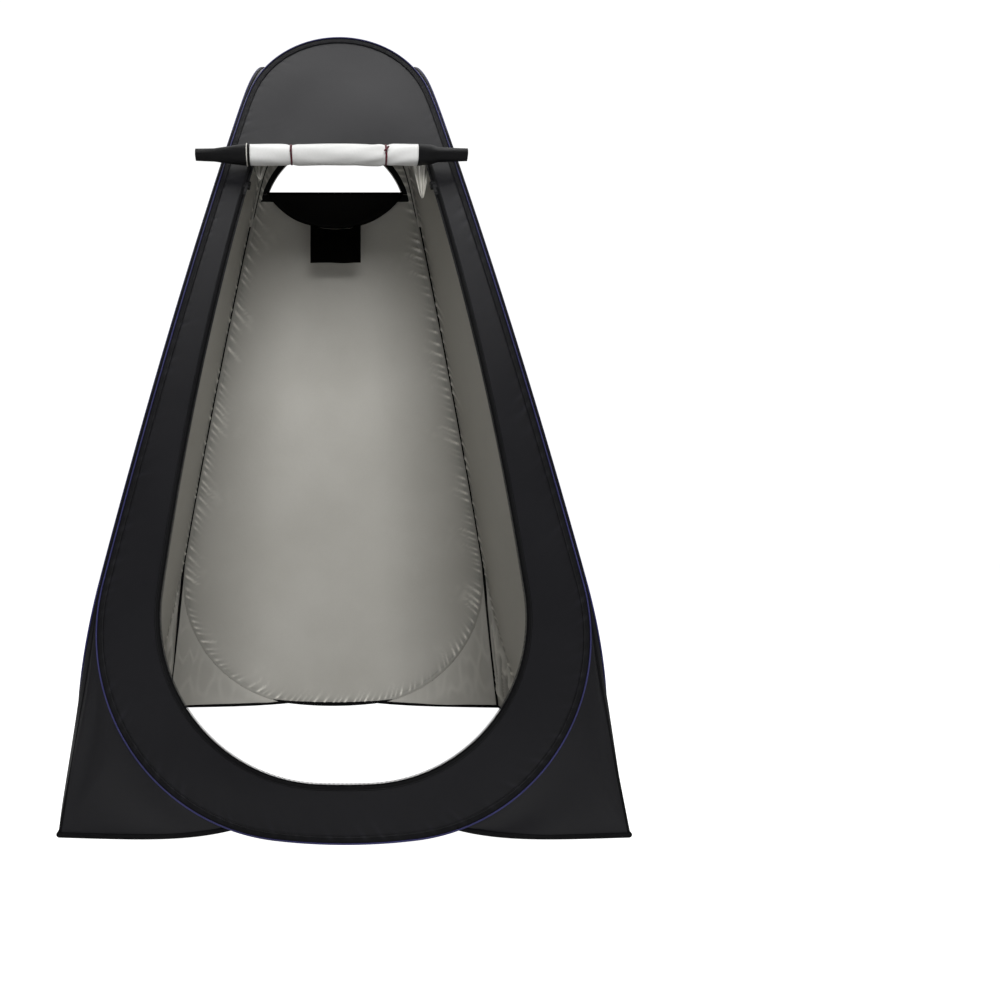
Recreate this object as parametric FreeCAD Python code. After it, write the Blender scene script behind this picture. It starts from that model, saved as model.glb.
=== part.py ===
import FreeCAD, Part
import math
import os

# Pop-up privacy tent: four fabric panels, each stretched by a closed spring hoop in an edge sleeve,
# sewn together up the corners. Millimetres. The origin is on the ground at the middle of the base,
# +Z is up, and the door faces -Y. Each panel is drawn as the front one and turned to its own side.

V = FreeCAD.Vector

# Side view: every panel leans in along one very shallow arc.
HEIGHT = 1930.0  # ground to the top of the arches
HALF_FOOT = 640.0  # middle of a panel's bottom edge, from the tent's centre
HALF_TOP = 200.0  # top of a panel's arch, from the tent's centre
PANEL_BOW = 21.0  # outward bow of that arc

# Front view: the hoop's outline is one chain of tangent arcs.
EDGE_SETBACK = 11.0  # sleeve edge to the corner line between two panels
BOTTOM_RADIUS = 1316.0
GROUND_FLAT = 0.5  # how much the ground flattens the bottom of a sleeve
CORNER_RADIUS = 437.0
SHOULDER_RADIUS = 990.0
CROWN_RADIUS = 243.0

# Layers of a panel, as depths from the arc to the inside of the tent.
PIPING = (0.6, 2.6)
SLEEVE = (2.8, 9.2)
TUNNEL = (4.2, 7.8)
FABRIC = (5.2, 6.8)
HOOP = (5.4, 6.6)
FERRULE = (4.7, 7.3)
FERRULE_BORE = (5.25, 6.75)
FACING_OUT = (3.6, 4.8)  # a tape sewn on the outside of the fabric
FACING_IN = (7.2, 8.2)  # a tape sewn on the inside of the fabric

# The same layers, as distances in from the hoop's outline.
PIPING_BAND = (1.0, 3.5)
SLEEVE_BAND = (0.0, 16.0)
TUNNEL_BAND = (2.0, 17.0)
HOOP_BAND = (4.0, 10.0)
FERRULE_BAND = (3.2, 10.8)
FERRULE_BORE_BAND = (3.85, 10.15)
FABRIC_EDGE = 12.0
FERRULE_HALF = 20.0

# Corner seams, corner gussets and roof.
SEAM_DEPTH = (2.0, 9.0)
SEAM_LOW = 470.0
SEAM_HIGH = 1625.0
CORNER_FOOT = 600.0  # a ground corner of the tent, from each centre plane
GUSSET_TOP = 464.0
GUSSET_TOE = 230.0  # where a gusset's hem meets the hoop, from the panel's middle
GUSSET_THICK = 1.6
HEM_LIFT = 1.0
OUTLINE_GAP = 2.0
ROOF_BAND = (3.0, 4.6)
ROOF_DEPTH = 10.2
ROOF_LOW = 1632.0
MITRE_GAP = 1.0

# Door opening, in the front view.
DOOR_BOTTOM = 110.0
DOOR_TOP = 1580.0
DOOR_BOTTOM_RADIUS = 1400.0
DOOR_CORNER_RADIUS = 360.0
DOOR_SIDE_RADIUS = 8080.0
DOOR_HALF = 390.0  # half-width of the opening at DOOR_WAIST
DOOR_WAIST = 600.0
DOOR_SIDE_SLOPE = 0.116
ZIP_TOP = 1570.0
ZIP_TAPE = (14.0, -4.0)
ZIP_CHAIN = (-4.4, -7.4)
ZIP_CHAIN_DEPTH = (5.0, 8.0)
HEADER_TAPE = (1584.0, 1606.0)
HEADER_HALF = 205.0

# Door, rolled up and tied under the header.
ROLL_Y = -330.0
ROLL_Z = 1560.0
ROLL_LEFT = -353.0
ROLL_RIGHT = 309.0
ROLL_SILVER_LEFT = -220.0
ROLL_SILVER_RIGHT = 188.0
ROLL_RADIUS = 26.0
ROLL_END_RADIUS = 27.0
ROLL_TIP_RADIUS = 16.0
STRIP_TOP = 1598.0
STRIP_THICK = 1.4
TIE_AT = {"left": -120.0, "right": 110.0}
TIE_WIDTH = 5.0
TIE_RADII = (27.0, 28.4)
TOGGLE_RADIUS = 2.5
TOGGLE_LENGTH = 18.0
TOGGLE_TILT = {"left": 8.0, "right": 45.0}

# Door zip sliders, one at the top of each side.
SLIDER_HEIGHT = 1495.0
SLIDER_LENGTH = 18.0
SLIDER_CLEAR = 1.1
SLIDER_WALL = 1.4
PULL_PIN_RADIUS = 0.9
PULL_EYE_RADIUS = 0.98
PULL_BOSS_RADIUS = 2.4
PULL_LENGTH = 32.0
PULL_WIDTH = 7.0

# Window in the back panel, a segment of a circle above its sill, and its cover.
SILL = 1714.0
WINDOW_CENTRE = 1623.0
WINDOW_RADIUS = 229.0
LOOP_TAPE = 18.0
SILL_TAPE = (1690.0, 1710.0)
SILL_TAPE_HALF = 247.0
FLAP_Z = 1712.0
FLAP_DEPTH = 15.0  # flap's hinge line, from the panel's arc
FLAP_RADIUS = 233.0
FLAP_LEAN = 22.0  # how far the hanging cover leans into the tent
FLAP_DROP = FLAP_RADIUS - (FLAP_Z - WINDOW_CENTRE)
FLAP_THICK = 1.6
HOOK_TAPE = 16.0
TONGUE_HALF = 78.0
TONGUE_DROP = 105.0
TONGUE_AXIS_BACK = 2.0

BEYOND = 60.0
HALF_SPAN = 800.0

CHORD = math.hypot(HALF_FOOT - HALF_TOP, HEIGHT)
ARC_RADIUS = (CHORD**2 / 4 + PANEL_BOW**2) / (2 * PANEL_BOW)
ARC_W = (HALF_FOOT + HALF_TOP) / 2 - (ARC_RADIUS - PANEL_BOW) * HEIGHT / CHORD
ARC_Z = HEIGHT / 2 - (ARC_RADIUS - PANEL_BOW) * (HALF_FOOT - HALF_TOP) / CHORD
TURN = {"front": 0.0, "right": 90.0, "back": 180.0, "left": -90.0}


def reach(z, depth=0.0):
    """How far a panel stands from the tent's centre plane at height z, at a depth inside its arc."""
    return ARC_W + math.sqrt((ARC_RADIUS - depth) ** 2 - (z - ARC_Z) ** 2)


def save(name, shape):
    """Write one node, as clean solids."""
    shape = shape.removeSplitter()
    assert shape.isValid() and shape.Solids, name
    if len(shape.Solids) == 1:
        shape = shape.Solids[0]
    shape.exportStep(f"parts/{name}.step")
    print(f"{name:32s} solids {len(shape.Solids)} volume {shape.Volume / 1000:9.2f} cm3")


def turned(shape, side):
    """A shape drawn on the front, on another side of the tent."""
    copy = shape.copy()
    copy.rotate(V(0, 0, 0), V(0, 0, 1), TURN[side])
    return copy


def layer(depths):
    """The front panel's curved layer between two depths, all across the tent."""
    outer, inner = [
        [V(-HALF_SPAN, -reach(z, depth), z) for z in (-BEYOND, HEIGHT / 2, HEIGHT + BEYOND)]
        for depth in depths
    ]
    wire = Part.Wire(
        [
            Part.Arc(*outer).toShape(),
            Part.LineSegment(outer[2], inner[2]).toShape(),
            Part.Arc(*reversed(inner)).toShape(),
            Part.LineSegment(inner[0], outer[0]).toShape(),
        ]
    )
    return Part.Face(wire).extrude(V(2 * HALF_SPAN, 0, 0))


def crossing(centre_a, radius_a, centre_b, radius_b):
    """The right-hand point where two circles of the front view cross."""
    line = centre_b - centre_a
    along = (line.Length**2 + radius_a**2 - radius_b**2) / (2 * line.Length)
    across = math.sqrt(radius_a**2 - along**2)
    line.normalize()
    normal = V(-line.z, 0, line.x)
    points = [centre_a + line * along + normal * way * across for way in (-1, 1)]
    return max(points, key=lambda point: point.x)


def touch(big_centre, big_radius, small_centre):
    """Where a circle touches a larger one from inside."""
    return big_centre + (small_centre - big_centre).normalize() * big_radius


def arc(centre, start, end):
    """The short arc about a centre, from one point to another."""
    radius = (start - centre).Length
    middle = centre + ((start - centre) + (end - centre)).normalize() * radius
    return Part.Arc(start, middle, end).toShape()


def mirrored(point):
    return V(-point.x, point.y, point.z)


def prism(edges):
    """A closed front-view outline, carried from far outside the front to the tent's centre plane."""
    face = Part.Face(Part.Wire(edges))
    return face.extrude(V(0, 1000, 0)).translated(V(0, -1000, 0))


def both_sides(arcs, bottom_centre, top_edge):
    """Close a right-hand chain of (centre, start, end) arcs with its mirror image, a bottom and a top."""
    right = [arc(*a) for a in arcs]
    left = [arc(mirrored(c), mirrored(e), mirrored(s)) for c, s, e in reversed(arcs)]
    foot = arcs[0][1]
    return right + [top_edge] + left + [arc(bottom_centre, mirrored(foot), foot)]


def hoop_prism(inset):
    """Everything inside the hoop's outline, drawn in by a distance."""
    side = V(ARC_W, 0, ARC_Z)
    side_radius = ARC_RADIUS - EDGE_SETBACK
    bottom = V(0, 0, BOTTOM_RADIUS - GROUND_FLAT)
    crown = V(0, 0, HEIGHT - CROWN_RADIUS)
    corner = crossing(bottom, BOTTOM_RADIUS - CORNER_RADIUS, side, side_radius - CORNER_RADIUS)
    shoulder = crossing(crown, SHOULDER_RADIUS - CROWN_RADIUS, side, side_radius - SHOULDER_RADIUS)
    low = touch(bottom, BOTTOM_RADIUS - inset, corner)
    waist = touch(side, side_radius - inset, corner)
    neck = touch(side, side_radius - inset, shoulder)
    high = touch(shoulder, SHOULDER_RADIUS - inset, crown)
    arcs = [(corner, low, waist), (side, waist, neck), (shoulder, neck, high)]
    return prism(both_sides(arcs, bottom, arc(crown, high, mirrored(high))))


def door_side_centre():
    normal = V(1, 0, DOOR_SIDE_SLOPE).normalize()
    return V(DOOR_HALF, 0, DOOR_WAIST) - normal * DOOR_SIDE_RADIUS


def door_half(z, grow=0.0):
    """Half-width of the door opening at height z."""
    side = door_side_centre()
    return side.x + math.sqrt((DOOR_SIDE_RADIUS + grow) ** 2 - (z - side.z) ** 2)


def door_prism(grow):
    """Everything inside the door opening's outline, grown by a distance."""
    side = door_side_centre()
    bottom = V(0, 0, DOOR_BOTTOM + DOOR_BOTTOM_RADIUS)
    spread = DOOR_SIDE_RADIUS - DOOR_CORNER_RADIUS
    corner = crossing(bottom, DOOR_BOTTOM_RADIUS - DOOR_CORNER_RADIUS, side, spread)
    low = touch(bottom, DOOR_BOTTOM_RADIUS + grow, corner)
    waist = touch(side, DOOR_SIDE_RADIUS + grow, corner)
    top = V(door_half(DOOR_TOP, grow), 0, DOOR_TOP)
    top_edge = Part.LineSegment(top, mirrored(top)).toShape()
    arcs = [(corner, low, waist), (side, waist, top)]
    return prism(both_sides(arcs, bottom, top_edge))


def segment_prism(radius, base, upward=True):
    """The part of the window's circle, of some radius, above a level line or mirrored below it."""
    rise = base - WINDOW_CENTRE
    half = math.sqrt(radius**2 - rise**2)
    way = 1 if upward else -1
    right, left = V(half, 0, base), V(-half, 0, base)
    top = V(0, 0, base + way * (radius - rise))
    return prism([Part.Arc(right, top, left).toShape(), Part.LineSegment(left, right).toShape()])


def level(low, high, half=HALF_SPAN, y_low=-1000.0, y_high=0.0):
    """A block between two heights, to cut with."""
    return Part.makeBox(2 * half, y_high - y_low, high - low, V(-half, y_low, low))


def wedge(gap):
    """The front quarter of the tent between its two diagonal planes, less a gap."""
    points = [V(0, -gap, -BEYOND), V(1200, -1200 - gap, -BEYOND), V(-1200, -1200 - gap, -BEYOND)]
    return Part.Face(Part.makePolygon(points + points[:1])).extrude(V(0, 0, HEIGHT + 2 * BEYOND))


def band(depths, insets):
    """A loop of one panel layer that follows the hoop's outline between two insets."""
    loop = hoop_prism(insets[0]).cut(hoop_prism(insets[1]))
    return layer(depths).common(loop)


def panel_cloth():
    return layer(FABRIC).common(hoop_prism(FABRIC_EDGE))


def sleeve():
    """The edge sleeve: a folded strip, open inward, with a tunnel for the hoop and the cloth's edge."""
    strip = band(SLEEVE, SLEEVE_BAND).cut(band(TUNNEL, TUNNEL_BAND))
    return strip.cut(level(-BEYOND, 0))


def ferrule():
    """The flat tube that joins a hoop's two ends, at the bottom."""
    near = level(-1, 60, half=FERRULE_HALF)
    return band(FERRULE, FERRULE_BAND).cut(band(FERRULE_BORE, FERRULE_BORE_BAND)).common(near)


def corner_seam():
    """The front right corner's seam, where the front and right sleeves meet."""
    bar = layer(SEAM_DEPTH).common(turned(layer(SEAM_DEPTH), "right"))
    return bar.common(Part.makeBox(900, 900, SEAM_HIGH - SEAM_LOW, V(0, -900, SEAM_LOW)))


def gusset_half(gap):
    """The part of the front right gusset on the front: from the hoop's lower curve to the corner."""
    top = reach(GUSSET_TOP) - SEAM_DEPTH[1]
    toe_height = BOTTOM_RADIUS - GROUND_FLAT - math.sqrt(BOTTOM_RADIUS**2 - GUSSET_TOE**2)
    corner_top = V(top, -top, GUSSET_TOP)
    foot = V(CORNER_FOOT, -CORNER_FOOT, HEM_LIFT)
    toe = V(GUSSET_TOE, -reach(0, FABRIC[1]), toe_height)
    normal = (foot - toe).cross(corner_top - toe).normalize()
    half = normal * (GUSSET_THICK / 2)
    corners = [corner_top - half, foot - half, toe - half]
    plate = Part.Face(Part.makePolygon(corners + corners[:1])).extrude(normal * GUSSET_THICK)
    plate = plate.common(level(HEM_LIFT, GUSSET_TOP))
    return plate.cut(hoop_prism(-OUTLINE_GAP)).common(wedge(gap))


def across_diagonal(shape):
    """The front right corner's mirror image across its diagonal plane."""
    return shape.mirror(V(0, 0, 0), V(1, 1, 0))


def gusset():
    """A whole corner gusset, folded at the corner."""
    half = gusset_half(0)
    return half.fuse(across_diagonal(half))


def roof_sector():
    """A quarter of the roof, from the arch's sleeve back to the tent's middle."""
    vault = hoop_prism(ROOF_BAND[0]).cut(hoop_prism(ROOF_BAND[1]))
    within = layer((ROOF_DEPTH, HALF_TOP * 2))
    return vault.common(within).common(wedge(MITRE_GAP)).common(level(ROOF_LOW, HEIGHT))


def roll_tube(left, right, radius_left, radius_right):
    """A round length of the rolled door."""
    length = right - left
    base = V(left, ROLL_Y, ROLL_Z)
    if radius_left == radius_right:
        return Part.makeCylinder(radius_left, length, base, V(1, 0, 0))
    return Part.makeCone(radius_left, radius_right, length, base, V(1, 0, 0))


def strip_anchor():
    """Where the rolled door hangs from the header."""
    return V(0, -(reach(STRIP_TOP) - 1.5), STRIP_TOP)


def hanging_strip():
    """The top of the door's cloth, from the header seam down to the roll."""
    anchor = strip_anchor()
    centre = V(0, ROLL_Y, ROLL_Z)
    way = (centre - anchor).normalize()
    across = way.cross(V(1, 0, 0)) * (STRIP_THICK / 2)
    end = centre - way * (ROLL_RADIUS + 0.5)
    corners = [anchor + across, anchor - across, end - across, end + across]
    corners = [V(ROLL_SILVER_LEFT + 15, p.y, p.z) for p in corners]
    length = ROLL_SILVER_RIGHT - ROLL_SILVER_LEFT - 30
    strip = Part.Face(Part.makePolygon(corners + corners[:1])).extrude(V(length, 0, 0))
    for x in TIE_AT.values():
        strip = strip.cut(roll_tube(x - TIE_WIDTH, x + TIE_WIDTH, TIE_RADII[1] + 1, TIE_RADII[1] + 1))
    return strip


def tie(x):
    """A tape tied once round the roll."""
    inner, outer = TIE_RADII
    left, right = x - TIE_WIDTH / 2, x + TIE_WIDTH / 2
    return roll_tube(left, right, outer, outer).cut(roll_tube(left - 1, right + 1, inner, inner))


def toggle(x, tilt):
    """The small toggle that holds a tie's loop, on the front of the roll."""
    y = ROLL_Y - TIE_RADII[1] - TOGGLE_RADIUS - 0.5
    base = V(x, y, ROLL_Z - TOGGLE_LENGTH / 2)
    rod = Part.makeCylinder(TOGGLE_RADIUS, TOGGLE_LENGTH, base)
    rod.rotate(V(x, y, ROLL_Z), V(0, 1, 0), tilt)
    return rod


def slider_frame(way):
    """Origin and axes (down the zip, across it, outward) of a door slider; way is -1 left, 1 right."""
    middle = (ZIP_CHAIN[0] + ZIP_CHAIN[1]) / 2
    depth = sum(ZIP_CHAIN_DEPTH) / 2

    def on_chain(z):
        return V(way * door_half(z, middle), -reach(z, depth), z)

    origin = on_chain(SLIDER_HEIGHT)
    down = (on_chain(SLIDER_HEIGHT - 200) - origin).normalize()
    across = V(1, 0, 0)
    outward = down.cross(across).normalize()
    return origin, down, outward.cross(down), outward


def on_slider(shape, way):
    """Place a shape drawn with x down the zip, y across it and z outward."""
    origin, down, across, outward = slider_frame(way)
    placed = shape.copy()
    placed.Placement = FreeCAD.Placement(origin, FreeCAD.Rotation(down, across, outward, "XYZ"))
    return placed


def box(x, y, z):
    """A box from three (low, high) pairs."""
    return Part.makeBox(x[1] - x[0], y[1] - y[0], z[1] - z[0], V(x[0], y[0], z[0]))


def slider_sizes():
    """Heights of a slider's plates and of its pull's pin, out from the middle of the zip chain."""
    half_chain = (ZIP_CHAIN_DEPTH[1] - ZIP_CHAIN_DEPTH[0]) / 2
    inside = half_chain + SLIDER_CLEAR
    outside = inside + SLIDER_WALL
    return inside, outside, outside + PULL_BOSS_RADIUS + 0.6


def slider(way):
    """A zip slider: two plates round the chain, joined on the side of the opening, and two lugs."""
    inside, outside, pin = slider_sizes()
    along = (-SLIDER_LENGTH / 2, SLIDER_LENGTH / 2)
    broad = sorted((way * 9.0, -way * 7.0))
    post = sorted((-way * 3.0, -way * 7.0))
    body = box(along, broad, (inside, outside))
    body = body.fuse(box(along, broad, (-outside, -inside)))
    body = body.fuse(box(along, post, (-outside, outside)))
    for lug in ((-5.2, -4.0), (4.0, 5.2)):
        body = body.fuse(box((-2.5, 2.5), lug, (outside - 0.2, pin + 1.8)))
    body = body.fuse(Part.makeCylinder(PULL_PIN_RADIUS, 9.6, V(0, -4.8, pin), V(0, 1, 0)))
    return on_slider(body, way)


def zip_pull(way):
    """A pull tab that hangs from the slider's pin."""
    pin = slider_sizes()[2]
    half = PULL_WIDTH / 2
    tab = box((0, PULL_LENGTH), (-half, half), (pin - 0.7, pin + 0.7))
    tab = tab.fuse(Part.makeCylinder(PULL_BOSS_RADIUS, PULL_WIDTH, V(0, -half, pin), V(0, 1, 0)))
    tab = tab.cut(Part.makeCylinder(PULL_EYE_RADIUS, 12, V(0, -6, pin), V(0, 1, 0)))
    tab = tab.cut(Part.makeCylinder(2.2, 6, V(PULL_LENGTH - 5, 0, pin - 3), V(0, 0, 1)))
    return on_slider(tab, way)


def flap_hinge():
    """The line about which the window's cover lifts, on the front for turning to the back."""
    return V(0, -reach(FLAP_Z, FLAP_DEPTH), FLAP_Z)


def tongue_hinge():
    """The line about which the tongue folds, with the cover hanging straight down."""
    return flap_hinge() + V(0, -TONGUE_AXIS_BACK, -FLAP_DROP)


def flap_layer(z_low, z_high):
    """The sheet of the window's cover between two heights, hanging straight down."""
    y = flap_hinge().y
    return level(z_low, z_high, y_low=y - FLAP_THICK / 2, y_high=y + FLAP_THICK / 2)


def leaned(shape):
    """A shape drawn on the straight cover, leaned into the tent about the cover's hinge."""
    copy = shape.copy()
    copy.rotate(flap_hinge(), V(1, 0, 0), FLAP_LEAN)
    return copy


def leaned_tongue_hinge():
    return leaned(Part.Vertex(tongue_hinge())).Point


def window_flap():
    cover = flap_layer(0, FLAP_Z).common(segment_prism(FLAP_RADIUS, FLAP_Z, upward=False))
    return leaned(cover)


def hook_tape():
    """The hook tape along the cover's curved edge, on the face that meets the wall when shut."""
    y = flap_hinge().y + FLAP_THICK / 2 + 0.2
    sheet = level(0, FLAP_Z - 6, y_low=y, y_high=y + 1.0)
    edge = segment_prism(FLAP_RADIUS - 2, FLAP_Z, upward=False)
    within = segment_prism(FLAP_RADIUS - HOOK_TAPE, FLAP_Z, upward=False)
    return leaned(sheet.common(edge.cut(within)))


def window_tongue():
    """The square tongue below the cover, which hangs straight down."""
    bottom = tongue_hinge().z - TONGUE_DROP
    top = FLAP_Z - math.sqrt(FLAP_RADIUS**2 - TONGUE_HALF**2) + FLAP_Z - WINDOW_CENTRE
    sheet = flap_layer(bottom, top).common(level(bottom, top, half=TONGUE_HALF))
    tongue = leaned(sheet.cut(segment_prism(FLAP_RADIUS + 1.5, FLAP_Z, upward=False)))
    tongue.rotate(leaned_tongue_hinge(), V(1, 0, 0), -FLAP_LEAN)
    return tongue


def make_panels():
    """Cloth, sleeve, hoop, ferrule, piping and roof sector of each side."""
    cloth = panel_cloth()
    opening = {"front": door_prism(0), "back": segment_prism(WINDOW_RADIUS, SILL)}
    pieces = {
        "sleeve": sleeve(),
        "hoop": band(HOOP, HOOP_BAND),
        "hoop_ferrule": ferrule(),
        "piping": band(PIPING, PIPING_BAND),
        "roof": roof_sector(),
    }
    for side in TURN:
        panel = cloth.cut(opening[side]) if side in opening else cloth
        save(f"{side}_panel", turned(panel, side))
        for name, shape in pieces.items():
            save(f"{side}_{name}", turned(shape, side))


def make_corners():
    """Corner seams and gussets. The back left gusset is in two halves, one on each panel."""
    corners = {"front_right": "front", "back_right": "right", "back_left": "back", "front_left": "left"}
    seam = corner_seam()
    whole = gusset()
    for name, side in corners.items():
        save(f"corner_seam_{name}", turned(seam, side))
        if name != "back_left":
            save(f"corner_gusset_{name}", turned(whole, side))
    half = gusset_half(MITRE_GAP)
    save("corner_gusset_back_left_rear", turned(half, "back"))
    save("corner_gusset_back_left_side", turned(across_diagonal(half), "back"))


def make_door():
    """Zip, header and the rolled door."""
    below_header = level(0, ZIP_TOP)
    tape = layer(FACING_IN).common(door_prism(ZIP_TAPE[0]).cut(door_prism(ZIP_TAPE[1])))
    chain = layer(ZIP_CHAIN_DEPTH).common(door_prism(ZIP_CHAIN[0]).cut(door_prism(ZIP_CHAIN[1])))
    save("door_zip_tape", tape.common(below_header))
    save("door_zip_chain", chain.common(below_header))
    save("door_header_tape", layer(FACING_OUT).common(level(*HEADER_TAPE, half=HEADER_HALF)))
    middle = roll_tube(ROLL_SILVER_LEFT, ROLL_SILVER_RIGHT, ROLL_RADIUS, ROLL_RADIUS)
    left = roll_tube(ROLL_LEFT, ROLL_SILVER_LEFT - 0.5, ROLL_TIP_RADIUS, ROLL_END_RADIUS)
    right = roll_tube(ROLL_SILVER_RIGHT + 0.5, ROLL_RIGHT, ROLL_END_RADIUS, ROLL_TIP_RADIUS)
    save("door_roll", middle)
    save("door_roll_end_left", left)
    save("door_roll_end_right", right)
    save("door_hanging_strip", hanging_strip())
    for side, way in (("left", -1), ("right", 1)):
        save(f"door_tie_{side}", tie(TIE_AT[side]))
        save(f"tie_toggle_{side}", toggle(TIE_AT[side], TOGGLE_TILT[side]))
        save(f"zip_slider_{side}", slider(way))
        save(f"zip_pull_{side}", zip_pull(way))


def make_window():
    """Loop tape round the window, its cover, hook tape and tongue, all on the back."""
    inside = layer(FACING_IN).common(hoop_prism(SLEEVE_BAND[1] + 0.6))
    edge = segment_prism(WINDOW_RADIUS + 2, SILL_TAPE[1] + 1)
    arch = segment_prism(WINDOW_RADIUS + LOOP_TAPE, SILL_TAPE[1] + 1).cut(edge)
    sill = level(*SILL_TAPE, half=SILL_TAPE_HALF)
    save("window_loop_tape", turned(inside.common(arch), "back"))
    save("window_sill_tape", turned(inside.common(sill), "back"))
    save("window_flap", turned(window_flap(), "back"))
    save("window_hook_tape", turned(hook_tape(), "back"))
    save("window_tongue", turned(window_tongue(), "back"))


if __name__ == "__main__":
    os.makedirs("parts", exist_ok=True)
    make_panels()
    make_corners()
    make_door()
    make_window()
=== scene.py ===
import math

import bpy
import numpy as np
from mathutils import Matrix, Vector
from mathutils.geometry import delaunay_2d_cdt


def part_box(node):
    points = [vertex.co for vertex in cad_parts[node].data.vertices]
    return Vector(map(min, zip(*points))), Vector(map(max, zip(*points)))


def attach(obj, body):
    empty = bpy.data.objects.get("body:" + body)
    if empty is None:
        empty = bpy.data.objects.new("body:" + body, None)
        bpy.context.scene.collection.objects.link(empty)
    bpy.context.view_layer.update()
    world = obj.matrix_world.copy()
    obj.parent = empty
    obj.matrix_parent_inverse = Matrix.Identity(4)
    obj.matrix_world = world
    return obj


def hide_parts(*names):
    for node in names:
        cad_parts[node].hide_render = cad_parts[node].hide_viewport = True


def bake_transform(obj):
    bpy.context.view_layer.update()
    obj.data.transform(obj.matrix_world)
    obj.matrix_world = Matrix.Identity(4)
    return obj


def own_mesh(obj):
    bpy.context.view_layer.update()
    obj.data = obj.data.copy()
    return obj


# The visual model of a pop-up privacy tent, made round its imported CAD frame. Metres, +Z up, the door faces -Y.
# Each side is drawn as the front one and turned to its place, as in the CAD.

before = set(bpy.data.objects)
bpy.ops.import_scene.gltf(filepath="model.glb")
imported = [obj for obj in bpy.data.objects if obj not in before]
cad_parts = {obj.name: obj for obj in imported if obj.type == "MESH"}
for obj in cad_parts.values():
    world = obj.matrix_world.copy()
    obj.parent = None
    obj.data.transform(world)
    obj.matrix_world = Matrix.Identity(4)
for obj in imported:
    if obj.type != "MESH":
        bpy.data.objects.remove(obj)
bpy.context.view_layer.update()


# ---------------------------------------------------------------- camera

def make_camera():
    """The photograph's camera: level, straight on, with the frame shifted to the tent's left."""
    data = bpy.data.cameras.new("camera")
    data.sensor_width = 36.0
    data.lens = 28.26
    data.shift_x = 0.1825
    data.shift_y = 0.03
    camera = bpy.data.objects.new("camera", data)
    camera.location = (-0.056, -2.245, 0.6445)
    camera.rotation_euler = (math.radians(90), 0, 0)
    bpy.context.scene.collection.objects.link(camera)
    bpy.context.scene.camera = camera


make_camera()


# ---------------------------------------------------------------- shared dimensions

SIDES = {"front": 0.0, "right": 90.0, "back": 180.0, "left": -90.0}

# Side profile: one shallow arc from the foot to the top of the arch.
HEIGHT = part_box("front_sleeve")[1].z
HALF_FOOT = 0.640
HALF_TOP = 0.200
PANEL_BOW = 0.021
CHORD = math.hypot(HALF_FOOT - HALF_TOP, HEIGHT)
ARC_RADIUS = (CHORD**2 / 4 + PANEL_BOW**2) / (2 * PANEL_BOW)
ARC_W = (HALF_FOOT + HALF_TOP) / 2 - (ARC_RADIUS - PANEL_BOW) * HEIGHT / CHORD
ARC_Z = HEIGHT / 2 - (ARC_RADIUS - PANEL_BOW) * (HALF_FOOT - HALF_TOP) / CHORD

# Hoop outline.
EDGE_SETBACK = 0.011
GROUND_FLAT = 0.0005
BOTTOM_RADIUS = 1.316
CORNER_RADIUS = 0.437
SHOULDER_RADIUS = 0.990
CROWN_RADIUS = 0.243

# Door opening.
DOOR_BOTTOM = 0.110
DOOR_TOP = 1.580
DOOR_BOTTOM_RADIUS = 1.400
DOOR_CORNER_RADIUS = 0.360
DOOR_SIDE_RADIUS = 8.080
DOOR_HALF = 0.390
DOOR_WAIST = 0.600
DOOR_SIDE_SLOPE = 0.116
ZIP_TOP = 1.570

# Window and its cover.
SILL = 1.714
WINDOW_CENTRE = 1.623
WINDOW_RADIUS = 0.229
FLAP_RADIUS = 0.233
FLAP_Z = 1.712
FLAP_DEPTH = 0.015
FLAP_LEAN = math.radians(22)

# Layers of the cloth, as depths inside the panel's arc.
CLOTH = (0.0052, 0.0058)
LINING = (0.0062, 0.0068)

# Corners and roof.
SEAM_HIGH = 1.650
GUSSET_TOE = 0.230
CORNER_FOOT = 0.600
ROOF_LOW = 1.612


def unit(vectors):
    return vectors / np.maximum(np.linalg.norm(vectors, axis=-1, keepdims=True), 1e-12)


def stacked(*arrays):
    """Points or UVs from one array per coordinate."""
    return np.stack(np.broadcast_arrays(*arrays), axis=-1)


def reach(z, depth=0.0):
    """How far a panel stands from the tent's centre plane at height z, at a depth inside its arc."""
    return ARC_W + np.sqrt((ARC_RADIUS - depth) ** 2 - (z - ARC_Z) ** 2)


def on_front(x, z, depth):
    """Points of the front panel, from front-view places and depths."""
    return stacked(x, -reach(z, depth), z)


def turned(points, degrees):
    """Points turned about the tent's upright axis."""
    a = math.radians(degrees)
    x, y, z = points[..., 0], points[..., 1], points[..., 2]
    return stacked(x * math.cos(a) - y * math.sin(a), x * math.sin(a) + y * math.cos(a), z)


# ---------------------------------------------------------------- front-view outlines

def crossing(a, radius_a, b, radius_b):
    """The right-hand crossing of two circles."""
    line = b - a
    gap = np.hypot(*line)
    along = (gap**2 + radius_a**2 - radius_b**2) / (2 * gap)
    across = math.sqrt(radius_a**2 - along**2)
    line = line / gap
    normal = np.array([-line[1], line[0]])
    return max((a + line * along + normal * way * across for way in (-1, 1)), key=lambda p: p[0])


def heading(a, b):
    return math.atan2(b[1] - a[1], b[0] - a[0])


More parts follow.
